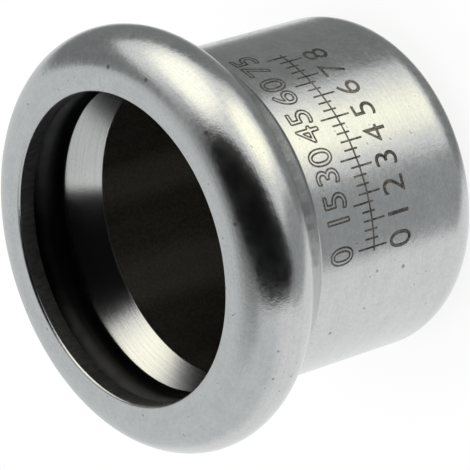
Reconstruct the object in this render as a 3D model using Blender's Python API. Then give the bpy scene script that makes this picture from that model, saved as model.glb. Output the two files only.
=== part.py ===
"""Press fitting end cap for one size of pipe.

The cap is a cup drawn from one steel sheet. Above the socket its wall flares out in a
straight flank, rolls over in a hollow bead and turns in again, so that the lip shows the
cut edge of the sheet. A rubber ring lies in the hollow. The cap stands on its closed end,
with its mouth up: +Z is the axis, and the origin is the centre of the closed end's outer
face.
"""

import math

import bmesh
import bpy

# Driving sizes of the steel shell, in metres
PIPE_DIAMETER = 0.0220       # outside diameter of the pipe that the socket takes
SOCKET_CLEARANCE = 0.0003    # from the pipe to the socket wall, all round
SHEET = 0.00125              # thickness of the drawn steel
OVERALL_LENGTH = 0.0243      # from the closed end to the mouth
END_CORNER_RADIUS = 0.0031   # outer corner of the closed end
THROAT_DEPTH = 0.0077        # from the mouth to the socket's upper edge, where the wall flares
THROAT_EDGE_RADIUS = 0.00025  # rounding of that edge, inside
HEEL_RADIUS = 0.0004         # hollow corner between socket and flank, outside
MOUTH_CLEARANCE = 0.00055    # from the pipe to the in-turned lip, all round
LIP_GAIN = 0.00014           # how much thicker than the sheet the upset lip is
LIP_EDGE_RADIUS = 0.00022    # rounding between the lip's cut edge and its front

# Driving sizes of the rubber ring and of the room that it has, in metres
SEAL_CORD = 0.00254          # diameter of the ring's round section
SEAL_FIT = 0.00041           # from the pipe to the ring before pressing, all round
SEAL_CLEARANCE = 0.00026     # from the ring to the wall of the hollow, where it lies nearest
SEAL_DROP = 0.00041          # how far the ring lies below the middle of the hollow
SEAL_OUTSET = 0.0001         # how far the ring lies outside the middle of the hollow

# Facets
TURN_STEPS = 72
SECTION_STEPS = 20
ARC_STEP = math.radians(11)
SHARP_ANGLE = math.radians(35)
SAME_POINT = 1e-7

# Finishes: colour, metallic, roughness
STEEL = ((0.60, 0.60, 0.58, 1.0), 1.0, 0.30)
RUBBER = ((0.012, 0.012, 0.013, 1.0), 0.0, 0.55)

# Sizes that follow
PIPE_RADIUS = PIPE_DIAMETER / 2
BORE_RADIUS = PIPE_RADIUS + SOCKET_CLEARANCE
BODY_RADIUS = BORE_RADIUS + SHEET
MOUTH_RADIUS = PIPE_RADIUS + MOUTH_CLEARANCE
LIP_THICKNESS = SHEET + LIP_GAIN
CORD_RADIUS = SEAL_CORD / 2
SEAL_RADIUS = PIPE_RADIUS + SEAL_FIT + CORD_RADIUS
CHAMBER_RADIUS = CORD_RADIUS + SEAL_CLEARANCE + math.hypot(SEAL_DROP, SEAL_OUTSET)
ROLL_RADIUS = CHAMBER_RADIUS + SHEET
ROLL_CENTRE = (SEAL_RADIUS - SEAL_OUTSET, OVERALL_LENGTH - ROLL_RADIUS)
SEAL_Z = ROLL_CENTRE[1] - SEAL_DROP


def clear_scene():
    """Remove every object of the open file."""
    for old in list(bpy.data.objects):
        bpy.data.objects.remove(old, do_unlink=True)


def arc(centre, radius, start, end):
    """Points of an arc in the (radius, height) plane, both ends included; angles in radians."""
    count = max(1, math.ceil(abs(end - start) / ARC_STEP))
    points = []
    for step in range(count + 1):
        angle = start + (end - start) * step / count
        x = centre[0] + radius * math.cos(angle)
        z = centre[1] + radius * math.sin(angle)
        points.append((x, z))
    return points


def bend(vertex, radius, angle):
    """Arc that rounds the vertex of an upright line, which leans outward by an angle above it."""
    centre = (vertex[0] + radius, vertex[1] - radius * math.tan(angle / 2))
    return arc(centre, radius, math.pi, math.pi - angle)


def joined(*stretches):
    """One outline from stretches of points that meet end to end."""
    outline = []
    for stretch in stretches:
        for point in stretch:
            if not outline or math.dist(outline[-1], point) > SAME_POINT:
                outline.append(point)
    return outline


def shell_outline():
    """Section of the steel shell, from the axis up the inside and down the outside.

    The inner and outer lines of the end corner, the flank and the bead keep the sheet's
    thickness between them. Only the lip is thicker. The flank is straight, and runs from
    the throat's edge to where it touches the round of the hollow.
    """
    corner = (BODY_RADIUS - END_CORNER_RADIUS, END_CORNER_RADIUS)
    roll = ROLL_CENTRE
    throat = (BORE_RADIUS, OVERALL_LENGTH - THROAT_DEPTH)
    flare = math.atan2(roll[0] - throat[0], roll[1] - throat[1])
    flare += math.asin(CHAMBER_RADIUS / math.dist(throat, roll))
    heel = (BODY_RADIUS, throat[1] - SHEET * math.tan(flare / 2))
    lip_back = OVERALL_LENGTH - LIP_THICKNESS
    lip_meets_chamber = math.asin((lip_back - roll[1]) / CHAMBER_RADIUS)
    lip_edge = (MOUTH_RADIUS + LIP_EDGE_RADIUS, OVERALL_LENGTH - LIP_EDGE_RADIUS)

    inside = joined(
        [(0.0, SHEET)],
        arc(corner, END_CORNER_RADIUS - SHEET, -math.pi / 2, 0.0),
        bend(throat, THROAT_EDGE_RADIUS, flare),
        arc(roll, CHAMBER_RADIUS, -flare, 0.0),
        arc(roll, CHAMBER_RADIUS, 0.0, lip_meets_chamber),
        [(MOUTH_RADIUS, lip_back)],
        arc(lip_edge, LIP_EDGE_RADIUS, math.pi, math.pi / 2),
    )
    outside = joined(
        arc(roll, ROLL_RADIUS, math.pi / 2, 0.0),
        arc(roll, ROLL_RADIUS, 0.0, -flare),
        reversed(bend(heel, HEEL_RADIUS, flare)),
        arc(corner, END_CORNER_RADIUS, 0.0, -math.pi / 2),
        [(0.0, 0.0)],
    )
    return joined(inside, outside)


def ring_outline():
    """Round section of the rubber ring about its own middle height, clockwise from its top."""
    outline = []
    for step in range(SECTION_STEPS + 1):
        angle = math.pi / 2 - 2 * math.pi * step / SECTION_STEPS
        outline.append((SEAL_RADIUS + CORD_RADIUS * math.cos(angle), CORD_RADIUS * math.sin(angle)))
    return outline


def turned_mesh(name, outline):
    """Closed mesh of an outline turned once round the Z axis."""
    shape = bmesh.new()
    points = [shape.verts.new((x, 0.0, z)) for x, z in outline]
    edges = [shape.edges.new(pair) for pair in zip(points, points[1:])]
    bmesh.ops.spin(
        shape,
        geom=points + edges,
        axis=(0.0, 0.0, 1.0),
        cent=(0.0, 0.0, 0.0),
        angle=2 * math.pi,
        steps=TURN_STEPS,
    )
    bmesh.ops.remove_doubles(shape, verts=shape.verts, dist=SAME_POINT)
    bmesh.ops.recalc_face_normals(shape, faces=shape.faces)
    mesh = bpy.data.meshes.new(name)
    shape.to_mesh(mesh)
    shape.free()
    mesh.shade_smooth()
    mesh.set_sharp_from_angle(angle=SHARP_ANGLE)
    return mesh


def finish(name, look):
    """Principled material of one colour, metallic value and roughness."""
    colour, metallic, roughness = look
    material = bpy.data.materials.new(name)
    material.use_nodes = True
    shader = material.node_tree.nodes["Principled BSDF"]
    shader.inputs["Base Color"].default_value = colour
    shader.inputs["Metallic"].default_value = metallic
    shader.inputs["Roughness"].default_value = roughness
    material.diffuse_color = colour
    return material


def add_piece(name, mesh, material, parent, height):
    """Object of one piece, on the cap's axis at the given height."""
    mesh.materials.append(material)
    piece = bpy.data.objects.new(name, mesh)
    bpy.context.scene.collection.objects.link(piece)
    piece.parent = parent
    piece.location = (0.0, 0.0, height)
    return piece


def main():
    clear_scene()
    axis = bpy.data.objects.new("cap_axis", None)
    bpy.context.scene.collection.objects.link(axis)

    shell = turned_mesh("cap_body", shell_outline())
    add_piece("cap_body", shell, finish("satin_steel", STEEL), axis, 0.0)

    ring = turned_mesh("sealing_ring", ring_outline())
    add_piece("sealing_ring", ring, finish("black_rubber", RUBBER), axis, SEAL_Z)


main()
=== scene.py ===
"""Looks of the press fitting end cap: turned shell, rubber ring, finishes and studio.

Everything is in metres, in the cap's own frame: +Z is the axis, out of the mouth, and the
origin is the centre of the closed end, on the floor. The finishes work in millimetres.
"""

import math

import bmesh
import bpy
from bpy.props import FloatProperty, FloatVectorProperty, IntProperty, PointerProperty
from mathutils import Matrix, Vector


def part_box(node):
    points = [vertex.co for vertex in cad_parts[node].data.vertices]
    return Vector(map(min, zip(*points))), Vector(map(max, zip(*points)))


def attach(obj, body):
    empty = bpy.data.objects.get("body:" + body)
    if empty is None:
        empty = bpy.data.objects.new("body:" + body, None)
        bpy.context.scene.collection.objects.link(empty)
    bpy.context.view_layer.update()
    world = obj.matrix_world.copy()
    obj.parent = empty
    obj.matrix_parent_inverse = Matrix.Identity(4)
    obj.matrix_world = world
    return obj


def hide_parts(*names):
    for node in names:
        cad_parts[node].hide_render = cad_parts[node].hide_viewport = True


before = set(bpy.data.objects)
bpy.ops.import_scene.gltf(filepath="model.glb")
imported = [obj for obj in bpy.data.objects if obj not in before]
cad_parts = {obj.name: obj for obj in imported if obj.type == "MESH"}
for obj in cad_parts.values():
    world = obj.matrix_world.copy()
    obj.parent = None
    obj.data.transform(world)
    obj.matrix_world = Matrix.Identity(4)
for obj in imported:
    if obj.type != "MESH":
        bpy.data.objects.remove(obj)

bl_info = {
    "name": "Press fitting end cap",
    "version": (1, 0, 0),
    "blender": (4, 5, 0),
    "location": "3D View > Sidebar > End cap",
    "description": "Dresses a steel press fitting end cap and lights it in a plain studio",
    "category": "Object",
}

SHELL = "cap_body"
RING = "sealing_ring"
SHELL_LOW, SHELL_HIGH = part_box(SHELL)
RING_LOW, RING_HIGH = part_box(RING)

MM = 0.001
FULL_TURN = 2 * math.pi
QUARTER_TURN = math.pi / 2

# Facets of the turned pieces
TURN_STEPS = 480
ARC_STEP = math.radians(4)
BEAD_STEP = ARC_STEP * 0.75
LIP_STEP = ARC_STEP * 3
RING_STEP = math.radians(5)
SHARP_ANGLE = math.radians(35)
WELD = 2e-7  # metres within which two points are one

# Numbers above and below the dial's base line, and how many lines apart they stand
DIAL_COARSE = ("0", "15", "30", "45", "60", "75")
DIAL_COARSE_LINES = 5
DIAL_FINE = ("0", "1", "2", "3", "4", "5", "6", "7", "8")
DIAL_FINE_LINES = 3
DIAL_INPUTS = ("Radius", "Start", "Step", "Lines", "Height", "Long line", "Short line",
               "Figure size", "Stroke", "Bed", "Proud")

# Shares of the dial's sizes
BASE_OVERHANG = 0.5    # of a step: how far the base line runs past the first and last line
SHORT_BELOW = 0.5      # of a short line: how far it reaches below the base line
FINE_BELOW = 0.8       # of a long line: how far the lines of the lower numbers reach down
ROW_OVERLAP = 0.3      # of the stroke: how far the numbered lines cross the base line
POINT_SPACING = 0.7    # of the stroke: from one point of a curve to the next
DIAL_WELD = 0.1        # of the lines' height above the steel: within it two points are one

# Dark specks on the outside: place and radius, in millimetres
SPECKS = (
    (5.91, -13.09, 23.76, 0.15), (10.75, -8.71, 24.04, 0.16), (12.52, -5.07, 24.16, 0.18),
    (-0.71, -13.63, 24.11, 0.14), (-1.91, -14.21, 23.77, 0.12), (12.05, 5.44, 24.24, 0.10),
    (-11.82, 3.13, 24.30, 0.10), (-11.78, -10.17, 22.26, 0.10), (-12.01, -10.20, 20.70, 0.10),
    (-12.76, -9.27, 21.38, 0.08), (-10.01, -11.84, 22.40, 0.10), (-10.11, -7.43, 14.04, 0.15),
    (-7.11, -10.34, 8.16, 0.17), (-6.86, -10.51, 10.72, 0.12), (-9.15, -8.59, 11.33, 0.10),
)

# Painted reflections, as brighter streaks along the bore: place and half width in millimetres,
# with the height shortened by the share that follows
PAINTED_BORE_REFLECTIONS = ((4.8, 10.2, 1.2, 1.6), (-2.6, 11.0, 1.2, 2.0))
REFLECTION_SHORTENING = 0.12

# From the socket's upper edge down to the heel outside
HEEL_DROP = 0.4 * MM

# Values of the noise between which its patches rise from 0 to 1
PATCH_LOW, PATCH_HIGH = 0.34, 0.66

# Where the edge of a soft dot starts and ends, in radii
DOT_CORE, DOT_EDGE = 0.4, 1.4

# Camera: its sensor in millimetres, and the nearest and farthest things that it sees in metres
SENSOR_WIDTH = 36.0
NEAREST, FARTHEST = 0.01, 20.0

# Floor: its reach from the axis, its drop below the cap, its paint, the share of it that
# glows under the cap, and (from, to, gain) of that share, in bead radii from the axis
FLOOR_REACH = 4.0
FLOOR_DROP = 0.02 * MM
FLOOR_PAINT = (0.9, 0.9, 0.9)
FLOOR_GLOW = 0.85
FLOOR_GAINS = ((0.62, 0.90, 0.10), (0.80, 1.35, 0.05))
WHITE = (1.0, 1.0, 1.0)

# Steps of a card's rim from one of its points to the next
RIM_PARTS = 5

# Cards of the studio: name, glow where 1 is white, colour, rim and middle as (azimuth,
# elevation) in degrees from the cap, fade, and distance in metres
WARM = (1.0, 0.98, 0.84)
WARMER = (1.0, 0.98, 0.80)
COOL = (0.97, 1.0, 1.0)
CARDS = (
    ("softbox_left", 1.85, WARM,
     ((-49, 1), (-46, 28), (-37, 50), (-11, 57), (8, 51), (19, 29), (19, 8), (10, -14),
      (-12, -26), (-36, -14)),
     (-14, 16), 0.60, 0.30),
    ("softbox_right", 1.85, WARMER,
     ((-86, -24), (-80, -6), (-62, 8), (-40, 5), (-27, -14), (-23, -43), (-46, -60), (-74, -54)),
     (-55, -24), 0.55, 0.32),
    ("dark_side", 0.004, COOL,
     ((-167, 66), (-158, 50), (-148, 30), (-143, 10), (-142, -8), (-140, -22), (-126, -31),
      (-108, -25), (-88, -11), (-70, 3), (-56, 14), (-44, 25), (-31, 37), (-23, 47), (-8, 53),
      (8, 60), (34, 69), (100, 82), (-170, 76)),
     (-106, 40), 0.20, 0.13),
    ("dim_ceiling", 0.08, COOL,
     ((-180, 34), (-120, 38), (-60, 38), (-20, 36), (10, 36), (40, 36), (80, 42), (120, 44),
      (150, 42)),
     (-40, 84), 0.85, 0.43),
    ("grey_side", 0.26, COOL,
     ((28, 44), (30, 62), (60, 66), (66, 40), (64, 20), (64, -20), (66, -44), (46, -56),
      (0, -55), (-24, -46), (-22, -30), (-2, -18), (14, -6), (28, 8)),
     (36, -18), 0.18, 0.38),
    ("grey_corner", 0.42, COOL,
     ((-145, -14), (-122, -14), (-99, -19), (-82, -36), (-80, -66), (-90, -76), (-150, -74),
      (-150, -40)),
     (-120, -48), 0.30, 0.39),
    ("grey_floor", 0.28, COOL,
     ((-150, -66), (-120, -60), (-90, -56), (-60, -54), (-24, -50), (-10, -38), (30, -36),
      (62, -36), (80, -46), (100, -56), (120, -70), (180, -78)),
     (0, -74), 0.40, 0.41),
    ("pale_wall", 0.80, COOL,
     ((30, 60), (120, 68), (-145, 64), (-130, 30), (-132, 5), (-158, -12), (120, -10),
      (100, -34), (34, -38), (30, 0), (28, 30)),
     (124, 34), 0.36, 0.62),
)


class ShellSizes(bpy.types.PropertyGroup):
    """Sizes of the steel shell's section."""

    length: FloatProperty(
        name="Length", description="From the closed end to the mouth",
        default=SHELL_HIGH.z - SHELL_LOW.z, min=0.0, unit="LENGTH", precision=5)
    bead_radius: FloatProperty(
        name="Bead radius", description="From the axis to the bead's crown",
        default=SHELL_HIGH.x, min=0.0, unit="LENGTH", precision=5)
    roll_radius: FloatProperty(
        name="Roll radius", description="Outer radius of the bead's round",
        default=3.202 * MM, min=0.0, unit="LENGTH", precision=5)
    bore_radius: FloatProperty(
        name="Bore radius", description="Inner radius of the socket",
        default=11.3 * MM, min=0.0, unit="LENGTH", precision=5)
    sheet: FloatProperty(
        name="Sheet", description="Thickness of the drawn steel",
        default=1.25 * MM, min=0.0, unit="LENGTH", precision=5)
    end_corner: FloatProperty(
        name="End corner", description="Outer corner radius of the closed end",
        default=3.1 * MM, min=0.0, unit="LENGTH", precision=5)
    throat_depth: FloatProperty(
        name="Throat depth", description="From the mouth to the socket's upper edge",
        default=7.7 * MM, min=0.0, unit="LENGTH", precision=5)
    throat_edge: FloatProperty(
        name="Throat edge", description="Rounding of the socket's upper edge",
        default=0.25 * MM, min=0.0, unit="LENGTH", precision=5)
    heel: FloatProperty(
        name="Heel", description="Hollow corner between the socket and the flank, outside",
        default=0.4 * MM, min=0.0, unit="LENGTH", precision=5)
    mouth_radius: FloatProperty(
        name="Mouth radius", description="Inner radius of the lip",
        default=11.55 * MM, min=0.0, unit="LENGTH", precision=5)
    lip: FloatProperty(
        name="Lip", description="Thickness of the lip, along the axis",
        default=1.39 * MM, min=0.0, unit="LENGTH", precision=5)
    lip_edge: FloatProperty(
        name="Lip edge", description="Rounding between the lip's cut edge and its front",
        default=0.22 * MM, min=0.0, unit="LENGTH", precision=5)


class RingSizes(bpy.types.PropertyGroup):
    """Sizes and place of the rubber ring."""

    cord_radius: FloatProperty(
        name="Cord radius", description="Radius of the ring's round section",
        default=(RING_HIGH.z - RING_LOW.z) / 2, min=0.0, unit="LENGTH", precision=5)
    outer_radius: FloatProperty(
        name="Outer radius", description="From the axis to the ring's outside",
        default=RING_HIGH.x, min=0.0, unit="LENGTH", precision=5)
    height: FloatProperty(
        name="Height", description="Of the ring's middle above the closed end",
        default=(RING_HIGH.z + RING_LOW.z) / 2, min=0.0, unit="LENGTH", precision=5)


class DialSizes(bpy.types.PropertyGroup):
    """Sizes and place of the etched dial on the body."""

    start: FloatProperty(
        name="Start", description="Angle of the dial's first line round the axis",
        default=math.radians(-114), subtype="ANGLE")
    step: FloatProperty(
        name="Step", description="Angle from one line to the next",
        default=math.radians(3), subtype="ANGLE")
    lines: IntProperty(
        name="Lines", description="How many lines the dial has", default=26, min=2)
    height: FloatProperty(
        name="Height", description="Of the dial's base line above the closed end",
        default=11.1 * MM, min=0.0, unit="LENGTH", precision=5)
    long_line: FloatProperty(
        name="Long line", description="Length of the numbered lines",
        default=1.5 * MM, min=0.0, unit="LENGTH", precision=5)
    short_line: FloatProperty(
        name="Short line", description="Length of the lines between them, above the base line",
        default=0.8 * MM, min=0.0, unit="LENGTH", precision=5)
    figure: FloatProperty(
        name="Figure size", description="Size of the numbers' type",
        default=2.9 * MM, min=0.0, unit="LENGTH", precision=5)
    stroke: FloatProperty(
        name="Stroke", description="Width of the etched lines",
        default=0.15 * MM, min=0.0, unit="LENGTH", precision=5)
    bed: FloatProperty(
        name="Bed", description="How deep the etched lines lie in the steel",
        default=0.016 * MM, min=0.0, unit="LENGTH", precision=6)
    proud: FloatProperty(
        name="Proud", description="How far the etched lines stand out of the steel",
        default=0.003 * MM, min=0.0, unit="LENGTH", precision=6)


class Finishes(bpy.types.PropertyGroup):
    """Colours of the steel and the rubber."""

    steel: FloatVectorProperty(
        name="Steel", description="Satin steel of the outside",
        default=(0.550, 0.560, 0.560), min=0.0, max=1.0, size=3, subtype="COLOR")
    turned: FloatVectorProperty(
        name="Turned steel", description="Bright steel of the throat",
        default=(0.60, 0.60, 0.59), min=0.0, max=1.0, size=3, subtype="COLOR")
    dull: FloatVectorProperty(
        name="Dull steel", description="Unpolished steel inside the socket",
        default=(0.29, 0.28, 0.26), min=0.0, max=1.0, size=3, subtype="COLOR")
    cut: FloatVectorProperty(
        name="Cut steel", description="Sheared edge of the lip",
        default=(0.30, 0.31, 0.31), min=0.0, max=1.0, size=3, subtype="COLOR")
    etched: FloatVectorProperty(
        name="Etched steel", description="Burnt lines of the dial",
        default=(0.110, 0.104, 0.095), min=0.0, max=1.0, size=3, subtype="COLOR")
    rubber: FloatVectorProperty(
        name="Rubber", description="Black rubber of the ring",
        default=(0.003, 0.003, 0.0033), min=0.0, max=1.0, size=3, subtype="COLOR")
    # Pale colour of the ring's crown: partly dusty, partly a painted sheen
    dust_and_sheen: FloatVectorProperty(
        name="Dust", description="Dust on the rubber ring's crown",
        default=(0.15, 0.15, 0.15), min=0.0, max=1.0, size=3, subtype="COLOR")


class Studio(bpy.types.PropertyGroup):
    """Camera and light."""

    elevation: FloatProperty(
        name="Elevation", description="Of the camera above the mouth's plane",
        default=math.radians(37.547), subtype="ANGLE")
    roll: FloatProperty(
        name="Roll", description="Of the camera about its line of sight",
        default=math.radians(107.191), subtype="ANGLE")
    distance: FloatProperty(
        name="Distance", description="From the camera to the point that it looks at",
        default=309.19 * MM, min=0.0, unit="LENGTH")
    aim: FloatVectorProperty(
        name="Aim", description="The point that the camera looks at",
        default=(-1.412 * MM, 0.846 * MM, 13.251 * MM), size=3, subtype="TRANSLATION",
        precision=5)
    focal_length: FloatProperty(
        name="Focal length", description="Of the lens, in millimetres on a 36 mm sensor",
        default=324.28, min=1.0, unit="CAMERA")
    light_centre: FloatVectorProperty(
        name="Light centre", description="The point that the cards stand round",
        default=(0.0, -12.0 * MM, 20.0 * MM), size=3, subtype="TRANSLATION", precision=5)


class Value:
    """One output in a node tree. Arithmetic on it adds Math nodes to the tree."""

    def __init__(self, tree, socket):
        self.tree = tree
        self.socket = socket

    def __add__(self, other):
        return self.tree.math("ADD", self, other)

    def __radd__(self, other):
        return self.tree.math("ADD", other, self)

    def __sub__(self, other):
        return self.tree.math("SUBTRACT", self, other)

    def __rsub__(self, other):
        return self.tree.math("SUBTRACT", other, self)

    def __mul__(self, other):
        return self.tree.math("MULTIPLY", self, other)

    def __rmul__(self, other):
        return self.tree.math("MULTIPLY", other, self)

    def __truediv__(self, other):
        return self.tree.math("DIVIDE", self, other)

    def __rtruediv__(self, other):
        return self.tree.math("DIVIDE", other, self)


class Tree:
    """Writes the nodes of one material, world or geometry tree."""

    def __init__(self, tree):
        self.tree = tree

    def node(self, kind, settings=None, inputs=None):
        """A node of a type, with its settings and then its sockets set or linked."""
        made = self.tree.nodes.new(kind)
        for name, setting in (settings or {}).items():
            setattr(made, name, setting)
        for name, value in (inputs or {}).items():
            self.feed(made.inputs[name], value)
        return made

    def feed(self, socket, value):
        """Links a value to a socket, or writes a plain number, colour or text there."""
        if isinstance(value, Value):
            self.tree.links.new(value.socket, socket)
        else:
            socket.default_value = value

    def out(self, node, name=0):
        """An output of a node, by its name or its place."""
        return Value(self, node.outputs[name])

    def math(self, operation, *values):
        """Result of a Math node on values and plain numbers."""
        inputs = dict(enumerate(values))
        return self.out(self.node("ShaderNodeMath", {"operation": operation}, inputs))

    def split(self, vector):
        """X, Y and Z of a vector."""
        parts = self.node("ShaderNodeSeparateXYZ", None, {0: vector})
        return [self.out(parts, index) for index in range(3)]

    def vector(self, x, y, z):
        """Vector of three values or plain numbers."""
        return self.out(self.node("ShaderNodeCombineXYZ", None, {0: x, 1: y, 2: z}))

    def blend(self, share, first, second):
        """Colour that goes from the first to the second as the share goes from 0 to 1."""
        inputs = {"Factor": share, "A": first, "B": second}
        return self.out(self.node("ShaderNodeMix", {"data_type": "RGBA"}, inputs), "Result")

    def noise(self, vector, size=1.0, detail=2.0):
        """Noise from 0 to 1 whose grains are about the given size, in units of the vector."""
        inputs = {"Vector": vector, "Scale": 1.0 / size, "Detail": detail}
        return self.out(self.node("ShaderNodeTexNoise", None, inputs))

    def rise(self, value, low, high):
        """0 up to low, 1 from high on and a smooth step between them. High may be the lesser."""
        inputs = {"Value": value, "From Min": low, "From Max": high}
        settings = {"interpolation_type": "SMOOTHSTEP"}
        return self.out(self.node("ShaderNodeMapRange", settings, inputs))

    def patches(self, vector, size=1.0, detail=2.0):
        """Patches of about the given size that reach from 0 to 1."""
        return self.rise(self.noise(vector, size, detail), PATCH_LOW, PATCH_HIGH)

    def dot(self, place, centre, radius):
        """1 within a soft dot round a point and 0 outside it."""
        away = self.node("ShaderNodeVectorMath", {"operation": "DISTANCE"}, {0: place, 1: centre})
        return 1.0 - self.rise(self.out(away, "Value"), radius * DOT_CORE, radius * DOT_EDGE)


def arc(centre, radius, start, end, step=ARC_STEP):
    """Points of an arc in the (radius, height) plane, both ends included; angles in radians."""
    count = max(1, math.ceil(abs(end - start) / step))
    angles = [start + (end - start) * index / count for index in range(count + 1)]
    return [(centre[0] + radius * math.cos(a), centre[1] + radius * math.sin(a)) for a in angles]


def bend(vertex, radius, angle):
    """Arc that rounds the vertex of an upright line, which leans outward by an angle above it."""
    centre = (vertex[0] + radius, vertex[1] - radius * math.tan(angle / 2))
    return arc(centre, radius, math.pi, math.pi - angle)


def shell_stretches(sizes):
    """Section of the shell as named stretches, up the inside and down the outside."""
    body_radius = sizes.bore_radius + sizes.sheet
    hollow_radius = sizes.roll_radius - sizes.sheet
    corner = (body_radius - sizes.end_corner, sizes.end_corner)
    roll = (sizes.bead_radius - sizes.roll_radius, sizes.length - sizes.roll_radius)
    throat = (sizes.bore_radius, sizes.length - sizes.throat_depth)
    flare = math.atan2(roll[0] - throat[0], roll[1] - throat[1])
    flare += math.asin(hollow_radius / math.dist(throat, roll))
    heel = (body_radius, throat[1] - sizes.sheet * math.tan(flare / 2))
    lip_back = sizes.length - sizes.lip
    lip_meets_hollow = math.asin((lip_back - roll[1]) / hollow_radius)
    lip_edge = (sizes.mouth_radius + sizes.lip_edge, sizes.length - sizes.lip_edge)
    inner_corner = arc(corner, sizes.end_corner - sizes.sheet, -QUARTER_TURN, 0.0)
    throat_bend = bend(throat, sizes.throat_edge, flare)
    hollow = arc(roll, hollow_radius, -flare, lip_meets_hollow)
    lip_round = arc(lip_edge, sizes.lip_edge, math.pi, QUARTER_TURN, LIP_STEP)
    bead = arc(roll, sizes.roll_radius, QUARTER_TURN, -flare, BEAD_STEP)
    heel_bend = bend(heel, sizes.heel, flare)[::-1]
    outer_corner = arc(corner, sizes.end_corner, 0.0, -QUARTER_TURN)
    return {
        "socket": [(0.0, sizes.sheet)] + inner_corner + throat_bend[:1],
        "throat": throat_bend + hollow[:1],
        "hollow": hollow + [(sizes.mouth_radius, lip_back)],
        "lip": [(sizes.mouth_radius, lip_back)] + lip_round[:2],
        "outside": lip_round[1:] + bead + heel_bend + outer_corner + [(0.0, 0.0)],
    }


def ring_stretches(sizes):
    """Round section of the rubber ring, clockwise from its top, as its one stretch."""
    centre = (sizes.outer_radius - sizes.cord_radius, sizes.height)
    end = QUARTER_TURN - FULL_TURN
    return {"ring": arc(centre, sizes.cord_radius, QUARTER_TURN, end, RING_STEP)}


def section_object(name, stretches):
    """Line object of a section in the XZ plane, with each point's distance along it.

    Also gives the distance at which each stretch starts.
    """
    points, runs, starts = [], [], {}
    run = 0.0
    for title, stretch in stretches.items():
        starts[title] = run
        for point in stretch:
            if points:
                step = math.dist(points[-1], point)
                if step < WELD:
                    continue
                run += step
            points.append(point)
            runs.append(run)
    mesh = bpy.data.meshes.new(name)
    edges = [(index, index + 1) for index in range(len(points) - 1)]
    mesh.from_pydata([(x, 0.0, z) for x, z in points], edges, [])
    mesh.attributes.new("run", "FLOAT", "POINT").data.foreach_set("value", runs)
    section = bpy.data.objects.new(name, mesh)
    bpy.context.scene.collection.objects.link(section)
    return section, starts


def geometry_tree(name, inputs, output):
    """Empty geometry tree and its writer. Inputs are (name, type) pairs."""
    group = bpy.data.node_groups.new(name, "GeometryNodeTree")
    for title, kind in inputs:
        group.interface.new_socket(title, in_out="INPUT", socket_type=f"NodeSocket{kind}")
    group.interface.new_socket(output, in_out="OUTPUT", socket_type="NodeSocketGeometry")
    return group, Tree(group)


def turning_tree(zones):
    """Geometry tree that turns a section once round the Z axis and gives each zone its finish.

    The zones are counted along the section. Each has an input for its material, and each
    but the first has one for the distance along the section at which it starts.
    """
    inputs = [("Section", "Geometry"), ("Steps", "Int"), ("Weld distance", "Float"),
              ("Finish 0", "Material")]
    for number in range(1, zones):
        inputs += [(f"Zone {number} start", "Float"), (f"Finish {number}", "Material")]
    group, tree = geometry_tree("turned_section", inputs, "Turned piece")
    given = tree.node("NodeGroupInput")
    section = tree.out(given, "Section")
    steps = tree.out(given, "Steps")

    # A grid whose columns are the steps of the turn and whose rows are the section's points.
    # Half a point keeps the division off the whole numbers.
    size = tree.node("GeometryNodeAttributeDomainSize", None, {"Geometry": section})
    count = tree.out(size, "Point Count")
    grid = tree.node("GeometryNodeMeshGrid", None, {"Vertices X": steps + 1, "Vertices Y": count})
    index = tree.out(tree.node("GeometryNodeInputIndex"))
    column = tree.math("FLOOR", (index + 0.5) / count)
    row = index - column * count
    angle = column * FULL_TURN / steps

    position = tree.out(tree.node("GeometryNodeInputPosition"))
    picked = {"Geometry": section, "Value": position, "Index": row}
    point = tree.node("GeometryNodeSampleIndex", {"data_type": "FLOAT_VECTOR"}, picked)
    radius, _, height = tree.split(tree.out(point))
    x = radius * tree.math("COSINE", angle)
    y = radius * tree.math("SINE", angle)
    placed = {"Geometry": tree.out(grid, "Mesh"), "Position": tree.vector(x, y, height)}
    shape = tree.out(tree.node("GeometryNodeSetPosition", None, placed))

    named = {"data_type": "FLOAT"}
    run = tree.out(tree.node("GeometryNodeInputNamedAttribute", named, {"Name": "run"}))
    picked = {"Geometry": section, "Value": run, "Index": row}
    sampled = tree.out(tree.node("GeometryNodeSampleIndex", {"data_type": "FLOAT"}, picked))
    settings = {"data_type": "FLOAT", "domain": "POINT"}
    stored = {"Geometry": shape, "Name": "run", "Value": sampled}
    shape = tree.out(tree.node("GeometryNodeStoreNamedAttribute", settings, stored))
    welded = {"Geometry": shape, "Distance": tree.out(given, "Weld distance")}
    shape = tree.out(tree.node("GeometryNodeMergeByDistance", None, welded))
    shape = tree.out(tree.node("GeometryNodeSetShadeSmooth", None, {"Geometry": shape}))
    shape = tree.out(tree.node("GeometryNodeRealizeInstances", None, {"Geometry": shape}))

    for number in range(zones):
        finished = {"Geometry": shape, "Material": tree.out(given, f"Finish {number}")}
        if number:
            start = tree.out(given, f"Zone {number} start")
            past = {"operation": "GREATER_THAN"}
            finished["Selection"] = tree.out(
                tree.node("FunctionNodeCompare", past, {"A": run, "B": start}))
        shape = tree.out(tree.node("GeometryNodeSetMaterial", None, finished))
    tree.node("NodeGroupOutput", None, {0: shape})
    return group


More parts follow.
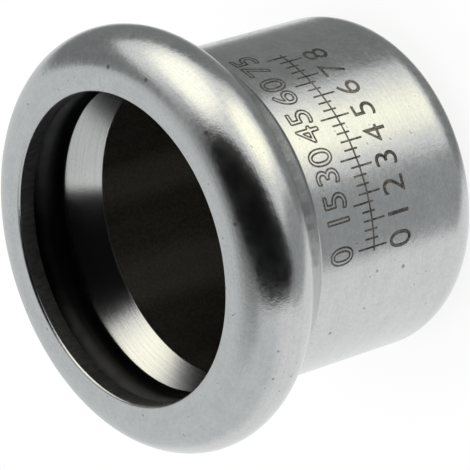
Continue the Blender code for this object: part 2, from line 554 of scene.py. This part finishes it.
def dial_tree():
    """Geometry tree of the etched dial: lines on a base line, with numbers above and below.

    It is laid out flat, with X round the body and Y up it, and then rolled onto the body.
    """
    inputs = [(name, "Int" if name == "Lines" else "Float") for name in DIAL_INPUTS]
    group, tree = geometry_tree("etched_dial", inputs + [("Finish", "Material")], "Dial")
    given = tree.node("NodeGroupInput")
    radius, start, step, lines, height, long_line, short_line, figure, stroke, bed, proud = (
        tree.out(given, name) for name in DIAL_INPUTS)
    along = step * radius
    fine_below = long_line * -FINE_BELOW

    def line(start_point, end_point):
        """Straight line between two points."""
        ends = {"Start": start_point, "End": end_point}
        return tree.out(tree.node("GeometryNodeCurvePrimitiveLine", None, ends))

    def rows(count, spacing, low, high):
        """Upright lines side by side."""
        offset = tree.vector(spacing, 0.0, 0.0)
        spread = {"Count": count, "Start Location": (0.0, 0.0, 0.0), "Offset": offset}
        points = tree.out(tree.node("GeometryNodeMeshLine", None, spread))
        upright = line(tree.vector(0.0, low, 0.0), tree.vector(0.0, high, 0.0))
        placed = {"Points": points, "Instance": upright}
        return tree.out(tree.node("GeometryNodeInstanceOnPoints", None, placed))

    def figures(texts, spacing, level):
        """Outlines of numbers side by side, with their middles at a level."""
        made = []
        for place, text in enumerate(texts):
            shaped = tree.node("GeometryNodeStringToCurves",
                               {"align_x": "CENTER", "align_y": "MIDDLE"},
                               {"String": text, "Size": figure})
            spot = tree.vector(spacing * place, level, 0.0)
            moved = {"Geometry": tree.out(shaped), "Translation": spot}
            made.append(tree.out(tree.node("GeometryNodeTransform", None, moved)))
        return made

    def joined(parts):
        """Several shapes as one."""
        made = tree.node("GeometryNodeJoinGeometry")
        for part in parts:
            tree.feed(made.inputs[0], part)
        return tree.out(made)

    def even(parts):
        """Curves as one, with their points close together."""
        realized = {"Geometry": joined(parts)}
        curves = tree.out(tree.node("GeometryNodeRealizeInstances", None, realized))
        spaced = {"Curve": curves, "Length": stroke * POINT_SPACING}
        return tree.out(tree.node("GeometryNodeResampleCurve", {"mode": "LENGTH"}, spaced))

    # Lines and the numbers above them: an upright section swept along flat curves
    drawn = [
        line(tree.vector(along * -BASE_OVERHANG, 0.0, 0.0),
             tree.vector(along * (lines - (1 - BASE_OVERHANG)), 0.0, 0.0)),
        rows(lines, along, short_line * -SHORT_BELOW, short_line),
        rows(len(DIAL_COARSE), along * DIAL_COARSE_LINES, stroke * -ROW_OVERLAP, long_line),
        rows(len(DIAL_FINE), along * DIAL_FINE_LINES, fine_below, stroke * ROW_OVERLAP),
        *figures(DIAL_COARSE, along * DIAL_COARSE_LINES, long_line + figure / 2),
    ]
    level = {"Curve": even(drawn)}
    flat = tree.out(tree.node("GeometryNodeSetCurveNormal", {"mode": "Z_UP"}, level))
    section = tree.node("GeometryNodeCurvePrimitiveQuadrilateral", {"mode": "RECTANGLE"},
                        {"Width": stroke, "Height": bed + proud})
    swept = {"Curve": flat, "Profile Curve": tree.out(section), "Fill Caps": True}
    strokes = tree.out(tree.node("GeometryNodeCurveToMesh", None, swept))

    # Numbers below: filled, raised and closed underneath
    solid = {"Curve": even(figures(DIAL_FINE, along * DIAL_FINE_LINES, fine_below - figure / 2))}
    under = tree.out(tree.node("GeometryNodeFillCurve", {"mode": "TRIANGLES"}, solid))
    up = tree.vector(0.0, 0.0, bed + proud)
    raised = {"Mesh": under, "Offset": up, "Individual": False}
    over = tree.out(tree.node("GeometryNodeExtrudeMesh", {"mode": "FACES"}, raised))
    under = tree.out(tree.node("GeometryNodeFlipFaces", None, {"Mesh": under}))
    closed = {"Geometry": joined([over, under]), "Distance": proud * DIAL_WELD}
    closed = tree.out(tree.node("GeometryNodeMergeByDistance", None, closed))
    down = tree.vector(0.0, 0.0, (bed + proud) / -2)
    sunk = {"Geometry": closed, "Translation": down}
    shape = joined([strokes, tree.out(tree.node("GeometryNodeTransform", None, sunk))])

    # Rolled onto the body, with the bed in the steel
    x, y, z = tree.split(tree.out(tree.node("GeometryNodeInputPosition")))
    angle = start + x / radius
    out = radius + z + (proud - bed) / 2
    place = tree.vector(
        out * tree.math("COSINE", angle), out * tree.math("SINE", angle), height + y)
    rolled = {"Geometry": shape, "Position": place}
    shape = tree.out(tree.node("GeometryNodeSetPosition", None, rolled))
    shape = tree.out(tree.node("GeometryNodeRealizeInstances", None, {"Geometry": shape}))
    finished = {"Geometry": shape, "Material": tree.out(given, "Finish")}
    shape = tree.out(tree.node("GeometryNodeSetMaterial", None, finished))
    tree.node("NodeGroupOutput", None, {0: shape})
    return group


def set_inputs(modifier, values):
    """Sets a Geometry Nodes modifier's inputs, given by their names in the tree."""
    for item in modifier.node_group.interface.items_tree:
        if item.item_type == "SOCKET" and item.in_out == "INPUT" and item.name in values:
            modifier[item.identifier] = values[item.name]


def plain_mesh(piece):
    """Replaces a piece's mesh by what its modifiers make of it, with its faces outwards."""
    graph = bpy.context.evaluated_depsgraph_get()
    mesh = bpy.data.meshes.new_from_object(piece.evaluated_get(graph), depsgraph=graph)
    piece.modifiers.clear()
    old = piece.data
    piece.data = mesh
    bpy.data.meshes.remove(old)
    shape = bmesh.new()
    shape.from_mesh(mesh)
    bmesh.ops.recalc_face_normals(shape, faces=shape.faces)
    shape.to_mesh(mesh)
    shape.free()
    mesh.set_sharp_from_angle(angle=SHARP_ANGLE)
    mesh.name = piece.name


def turned_piece(name, stretches, finishes):
    """Piece turned from a section, with a material for each of its stretches."""
    piece, starts = section_object(name, stretches)
    modifier = piece.modifiers.new("Turn", "NODES")
    modifier.node_group = turning_tree(len(starts))
    values = {"Steps": TURN_STEPS, "Weld distance": WELD}
    for number, (title, start) in enumerate(starts.items()):
        values[f"Zone {number} start"] = start
        values[f"Finish {number}"] = finishes[title]
    set_inputs(modifier, values)
    plain_mesh(piece)
    return piece


def tint(colour, share=1.0):
    """A colour times a share, opaque."""
    return (*(min(1.0, c * share) for c in colour), 1.0)


def new_finish(name):
    """Empty material and the writer of its tree."""
    material = bpy.data.materials.new(name)
    material.use_nodes = True
    material.node_tree.nodes.clear()
    return material, Tree(material.node_tree)


def close_finish(tree, inputs):
    """Principled surface with the given sockets, linked to the material's output."""
    shader = tree.node("ShaderNodeBsdfPrincipled", None, inputs)
    tree.node("ShaderNodeOutputMaterial", None, {"Surface": tree.out(shader)})


def surface_place(tree):
    """Object coordinates in millimetres."""
    x, y, z = tree.split(tree.out(tree.node("ShaderNodeTexCoord"), "Object"))
    return x / MM, y / MM, z / MM


def section_run(tree):
    """Distance along the turned section, in millimetres."""
    run = tree.node("ShaderNodeAttribute", {"attribute_name": "run"})
    return tree.out(run, "Fac") / MM


def bumps(tree, height, depth):
    """Normal of a surface whose height, from 0 to 1, stands for a depth in millimetres."""
    inputs = {"Strength": 1.0, "Distance": depth * MM, "Height": height}
    return tree.out(tree.node("ShaderNodeBump", None, inputs))


def satin_steel(finishes, heel_height):
    """Satin steel: a mottled grain, faint lines round the piece, painted shade in the heel and
    specks.

    The heel's height is in metres.
    """
    material, tree = new_finish("satin_steel")
    x, y, z = surface_place(tree)
    place = tree.vector(x, y, z)
    around = tree.vector(x * 0.12, y * 0.12, section_run(tree) * 5.5)
    lines = tree.patches(around, detail=3.0)
    grain = tree.patches(place, size=0.11)
    mottle = tree.patches(place, size=0.34)
    clouds = tree.patches(place, size=1.6)
    shade = grain * 0.34 + mottle * 0.28 + lines * 0.18 + clouds * 0.20
    colour = tree.blend(shade, tint(finishes.steel, 0.88), tint(finishes.steel, 1.12))

    # Painted shade in the heel's crease, from just below the heel to a little way up the flank,
    # more of it towards +X
    above_heel = z - heel_height / MM
    heel_shade = tree.rise(above_heel, -0.24, -0.04) * (1.0 - tree.rise(above_heel, 0.15, 0.8))
    heel_shade = heel_shade * (0.1 + 0.5 * tree.rise(x, -4.0, 4.0))
    pits = tree.rise(tree.noise(place, size=0.34, detail=0.0), 0.80, 0.86)
    dark = tree.math("MAXIMUM", heel_shade * (0.8 + mottle * 0.4), pits * 0.35)
    for *centre, radius in SPECKS:
        dark = tree.math("MAXIMUM", dark, tree.dot(place, centre, radius) * 0.6)

    height = grain * 0.24 + lines * 0.2 + mottle * 0.32 + clouds * 0.24
    close_finish(tree, {
        "Base Color": tree.blend(dark, colour, tint(finishes.steel, 0.08)),
        "Metallic": 1.0,
        "Roughness": 0.17 + mottle * 0.04 + clouds * 0.04,
        "Anisotropic": 0.5,
        "Anisotropic Rotation": 0.25,
        "Normal": bumps(tree, height, depth=0.0055),
    })
    return material


def etched_steel(finishes):
    """Dark lines burnt into the steel, uneven in tone."""
    material, tree = new_finish("etched_steel")
    place = tree.vector(*surface_place(tree))
    shade = tree.patches(place, size=0.15) * 0.6 + tree.patches(place, size=1.5) * 0.4
    close_finish(tree, {
        "Base Color": tree.blend(shade, tint(finishes.etched, 0.35), tint(finishes.etched, 1.9)),
        "Metallic": 1.0,
        "Roughness": 0.45,
        "Normal": bumps(tree, tree.patches(place, size=0.1), depth=0.006),
    })
    return material


def turned_steel(finishes):
    """Bright steel of the throat, with the lines of its turning."""
    material, tree = new_finish("turned_steel")
    x, y, z = surface_place(tree)
    around = tree.vector(x * 0.15, y * 0.15, section_run(tree) * 11.0)
    lines = tree.patches(around)
    grain = tree.patches(tree.vector(x, y, z), size=0.12)
    shade = lines * 0.5 + grain * 0.5
    close_finish(tree, {
        "Base Color": tree.blend(shade, tint(finishes.turned, 0.86), tint(finishes.turned, 1.06)),
        "Metallic": 1.0,
        "Roughness": 0.18 + grain * 0.03,
        "Anisotropic": 0.75,
        "Anisotropic Rotation": 0.25,
        "Normal": bumps(tree, lines * 0.7 + grain * 0.3, depth=0.002),
    })
    return material


def dull_steel(finishes):
    """Unpolished steel of the socket and hollow, with its drawing's long streaks and painted
    reflections.
    """
    material, tree = new_finish("dull_steel")
    x, y, z = surface_place(tree)
    streaks = tree.patches(tree.vector(x * 0.9, y * 0.9, z * 0.05))
    grain = tree.patches(tree.vector(x, y, z), size=0.16, detail=3.0)
    shade = grain * 0.35 + streaks * 0.08
    # Painted reflections: brighter streaks along the bore
    for *centre, radius in PAINTED_BORE_REFLECTIONS:
        place = tree.vector(x, y, z * REFLECTION_SHORTENING)
        shade = shade + tree.dot(place, centre, radius) * 0.57
    close_finish(tree, {
        "Base Color": tree.blend(shade, tint(finishes.dull, 0.85), tint(finishes.dull, 2.5)),
        "Metallic": 1.0,
        "Roughness": 0.38 + streaks * 0.04,
        "Normal": bumps(tree, grain * 0.8 + streaks * 0.2, depth=0.01),
    })
    return material


def cut_steel(finishes):
    """Sheared edge of the lip, with short marks across the sheet."""
    material, tree = new_finish("cut_steel")
    x, y, z = surface_place(tree)
    marks = tree.patches(tree.vector(x * 5.0, y * 5.0, z * 1.2), detail=3.0)
    grain = tree.patches(tree.vector(x, y, z), size=0.2)
    shade = marks * 0.6 + grain * 0.4
    close_finish(tree, {
        "Base Color": tree.blend(shade, tint(finishes.cut, 0.72), tint(finishes.cut, 1.2)),
        "Metallic": 1.0,
        "Roughness": 0.34 + grain * 0.1,
        "Normal": bumps(tree, marks * 0.5 + grain * 0.5, depth=0.008),
    })
    return material


def black_rubber(finishes, ring):
    """Moulded rubber with a fine matt grain and a pale crown that is partly dusty and partly a
    painted sheen.

    Most of the pale crown lies towards the two ends of X.
    """
    material, tree = new_finish("black_rubber")
    x, y, z = surface_place(tree)
    place = tree.vector(x, y, z)
    grain = tree.patches(place, size=0.1)
    clouds = tree.patches(place, size=1.2)
    above = (z - ring.height / MM) / (ring.cord_radius / MM)
    # Pale crown, partly dusty and partly a painted sheen, stronger towards both ends of X
    ends = tree.rise(x, -1.0, -6.0) * 0.9 + tree.rise(x, 3.0, 9.0) * 0.9 + 0.1
    dust_and_sheen = tree.rise(above, 0.54, 1.0) * ends * (0.75 + clouds * 0.25)
    colour = tree.blend(clouds, tint(finishes.rubber, 0.8), tint(finishes.rubber, 1.3))
    close_finish(tree, {
        "Base Color": tree.blend(dust_and_sheen, colour, tint(finishes.dust_and_sheen)),
        "Roughness": 0.36 + dust_and_sheen * 0.3,
        "Specular IOR Level": 0.08,
        "Normal": bumps(tree, grain * 0.6 + clouds * 0.4, depth=0.006),
    })
    return material


class CAP_OT_shell(bpy.types.Operator):
    """Turn the steel shell and give its zones their finishes"""

    bl_idname = "cap.shell"
    bl_label = "Steel shell"

    def execute(self, context):
        scene = context.scene
        sizes = scene.cap_shell
        heel_height = sizes.length - sizes.throat_depth - HEEL_DROP
        dull = dull_steel(scene.cap_finishes)
        finishes = {
            "socket": dull,
            "throat": turned_steel(scene.cap_finishes),
            "hollow": dull,
            "lip": cut_steel(scene.cap_finishes),
            "outside": satin_steel(scene.cap_finishes, heel_height),
        }
        shell = turned_piece("steel_shell", shell_stretches(sizes), finishes)
        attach(shell, "root")
        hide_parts(SHELL)
        return {"FINISHED"}


class CAP_OT_dial(bpy.types.Operator):
    """Etch the dial on the body"""

    bl_idname = "cap.dial"
    bl_label = "Etched dial"

    def execute(self, context):
        scene = context.scene
        shell, dial = scene.cap_shell, scene.cap_dial
        piece = bpy.data.objects.new("etched_dial", bpy.data.meshes.new("etched_dial"))
        scene.collection.objects.link(piece)
        modifier = piece.modifiers.new("Etch", "NODES")
        modifier.node_group = dial_tree()
        sizes = (shell.bore_radius + shell.sheet, dial.start, dial.step, dial.lines, dial.height,
                 dial.long_line, dial.short_line, dial.figure, dial.stroke, dial.bed, dial.proud)
        values = dict(zip(DIAL_INPUTS, sizes))
        values["Finish"] = etched_steel(scene.cap_finishes)
        set_inputs(modifier, values)
        plain_mesh(piece)
        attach(piece, "root")
        return {"FINISHED"}


class CAP_OT_ring(bpy.types.Operator):
    """Turn the rubber ring that lies in the bead"""

    bl_idname = "cap.ring"
    bl_label = "Rubber ring"

    def execute(self, context):
        scene = context.scene
        finishes = {"ring": black_rubber(scene.cap_finishes, scene.cap_ring)}
        ring = turned_piece("rubber_ring", ring_stretches(scene.cap_ring), finishes)
        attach(ring, "root")
        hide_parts(RING)
        return {"FINISHED"}


def towards(azimuth, elevation):
    """Unit vector at an azimuth from +X towards +Y and an elevation, in degrees."""
    a, e = math.radians(azimuth), math.radians(elevation)
    return Vector((math.cos(a) * math.cos(e), math.sin(a) * math.cos(e), math.sin(e)))


def add_camera(studio):
    """Camera that looks along +Y and down, turned about its line of sight."""
    back = Vector((0.0, -math.cos(studio.elevation), math.sin(studio.elevation)))
    level_right = (-back).cross(Vector((0.0, 0.0, 1.0))).normalized()
    level_up = level_right.cross(-back)
    up = level_right * math.sin(studio.roll) + level_up * math.cos(studio.roll)
    right = level_right * math.cos(studio.roll) - level_up * math.sin(studio.roll)
    data = bpy.data.cameras.new("camera")
    data.lens = studio.focal_length
    data.sensor_width = SENSOR_WIDTH
    data.clip_start = NEAREST
    data.clip_end = FARTHEST
    camera = bpy.data.objects.new("camera", data)
    turn = Matrix((right, up, back)).transposed().to_4x4()
    camera.matrix_world = Matrix.Translation(Vector(studio.aim) + back * studio.distance) @ turn
    bpy.context.scene.collection.objects.link(camera)
    bpy.context.scene.camera = camera


def glow_over(tree, under, colour, strength, share):
    """Material output of a shader that an even glow covers by a share, from 0 to 1."""
    glow = {"Color": tint(colour), "Strength": strength}
    lit = tree.out(tree.node("ShaderNodeEmission", None, glow))
    both = tree.node("ShaderNodeMixShader", None, {0: share, 1: under, 2: lit})
    tree.node("ShaderNodeOutputMaterial", None, {"Surface": tree.out(both)})


def add_card(centre, name, glow, colour, rim, middle, fade, distance):
    """Card round the cap that glows evenly and thins out towards its rim.

    The rim and the middle are (azimuth, elevation) directions from the centre, in degrees.
    The fade is the share of the way from the rim to the middle over which the card thins out.
    """
    inner = towards(*middle)
    outer = []
    for way, after in zip(rim, rim[1:] + rim[:1]):
        start, end = towards(*way), towards(*after)
        outer += [start.slerp(end, part / RIM_PARTS) for part in range(RIM_PARTS)]
    edge = [way.slerp(inner, fade) for way in outer]
    count = len(outer)
    points = [centre + way * distance for way in [inner] + edge + outer]
    faces = []
    for index in range(count):
        after = (index + 1) % count
        faces.append((0, 1 + index, 1 + after))
        faces.append((1 + index, 1 + count + index, 1 + count + after, 1 + after))
    mesh = bpy.data.meshes.new(name)
    mesh.from_pydata(points, [], faces)
    cover = [1.0] * (1 + count) + [0.0] * count
    mesh.attributes.new("cover", "FLOAT", "POINT").data.foreach_set("value", cover)
    card = bpy.data.objects.new(name, mesh)
    bpy.context.scene.collection.objects.link(card)
    card.visible_camera = False
    material, tree = new_finish(name)
    share = tree.out(tree.node("ShaderNodeAttribute", {"attribute_name": "cover"}), "Fac")
    clear = tree.out(tree.node("ShaderNodeBsdfTransparent"))
    glow_over(tree, clear, colour, glow, tree.rise(share, 0.0, 1.0))
    mesh.materials.append(material)


def add_floor():
    """White floor that keeps the cap's shadow.

    It casts no shadow and isn't mirrored, so that the steel sees the whole studio. It glows
    white, and less so under the cap and near it, where its matt paint takes the shadow.
    """
    mesh = bpy.data.meshes.new("floor")
    sides = (-FLOOR_REACH, FLOOR_REACH)
    mesh.from_pydata([(x, y, 0.0) for y in sides for x in sides], [], [(0, 1, 3, 2)])
    floor = bpy.data.objects.new("floor", mesh)
    floor.location.z = SHELL_LOW.z - FLOOR_DROP
    bpy.context.scene.collection.objects.link(floor)
    floor.visible_glossy = False
    floor.visible_shadow = False
    material, tree = new_finish("floor_white")
    x, y, _ = tree.split(tree.out(tree.node("ShaderNodeTexCoord"), "Object"))
    away = tree.math("SQRT", x * x + y * y)
    share = FLOOR_GLOW
    for low, high, gain in FLOOR_GAINS:
        share = share + tree.rise(away, SHELL_HIGH.x * low, SHELL_HIGH.x * high) * gain
    matt = tree.out(tree.node("ShaderNodeBsdfDiffuse", None, {"Color": tint(FLOOR_PAINT)}))
    glow_over(tree, matt, WHITE, 1.0, share)
    mesh.materials.append(material)


def add_world():
    """White surroundings."""
    world = bpy.data.worlds.new("studio")
    world.use_nodes = True
    world.node_tree.nodes.clear()
    tree = Tree(world.node_tree)
    white = tree.node("ShaderNodeBackground", None, {"Color": tint(WHITE), "Strength": 1.0})
    tree.node("ShaderNodeOutputWorld", None, {"Surface": tree.out(white)})
    bpy.context.scene.world = world


class CAP_OT_stage(bpy.types.Operator):
    """Set up the floor, the light, the cards and the camera"""

    bl_idname = "cap.stage"
    bl_label = "Studio"

    def execute(self, context):
        scene = context.scene
        studio = scene.cap_studio
        add_camera(studio)
        add_floor()
        add_world()
        for card in CARDS:
            add_card(Vector(studio.light_centre), *card)
        scene.view_settings.view_transform = "Standard"
        return {"FINISHED"}


class CAP_PT_sidebar(bpy.types.Panel):
    """Lists the cap's pieces and their sizes."""

    bl_label = "End cap"
    bl_idname = "CAP_PT_sidebar"
    bl_space_type = "VIEW_3D"
    bl_region_type = "UI"
    bl_category = "End cap"

    def draw(self, context):
        layout = self.layout
        for operator in OPERATORS:
            layout.operator(operator.bl_idname)
        for name in GROUPS:
            group = getattr(context.scene, name)
            box = layout.box()
            for prop in group.bl_rna.properties:
                if prop.identifier not in ("rna_type", "name"):
                    box.prop(group, prop.identifier)


OPERATORS = (CAP_OT_shell, CAP_OT_dial, CAP_OT_ring, CAP_OT_stage)
GROUPS = {
    "cap_shell": ShellSizes,
    "cap_dial": DialSizes,
    "cap_ring": RingSizes,
    "cap_finishes": Finishes,
    "cap_studio": Studio,
}


def register():
    for group in GROUPS.values():
        bpy.utils.register_class(group)
    for name, group in GROUPS.items():
        setattr(bpy.types.Scene, name, PointerProperty(type=group))
    for operator in OPERATORS:
        bpy.utils.register_class(operator)
    bpy.utils.register_class(CAP_PT_sidebar)


def unregister():
    bpy.utils.unregister_class(CAP_PT_sidebar)
    for operator in reversed(OPERATORS):
        bpy.utils.unregister_class(operator)
    for name in GROUPS:
        delattr(bpy.types.Scene, name)
    for group in GROUPS.values():
        bpy.utils.unregister_class(group)


def main():
    register()
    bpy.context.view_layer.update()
    bpy.ops.cap.shell()
    bpy.ops.cap.dial()
    bpy.ops.cap.ring()
    bpy.ops.cap.stage()


if __name__ == "__main__":
    main()
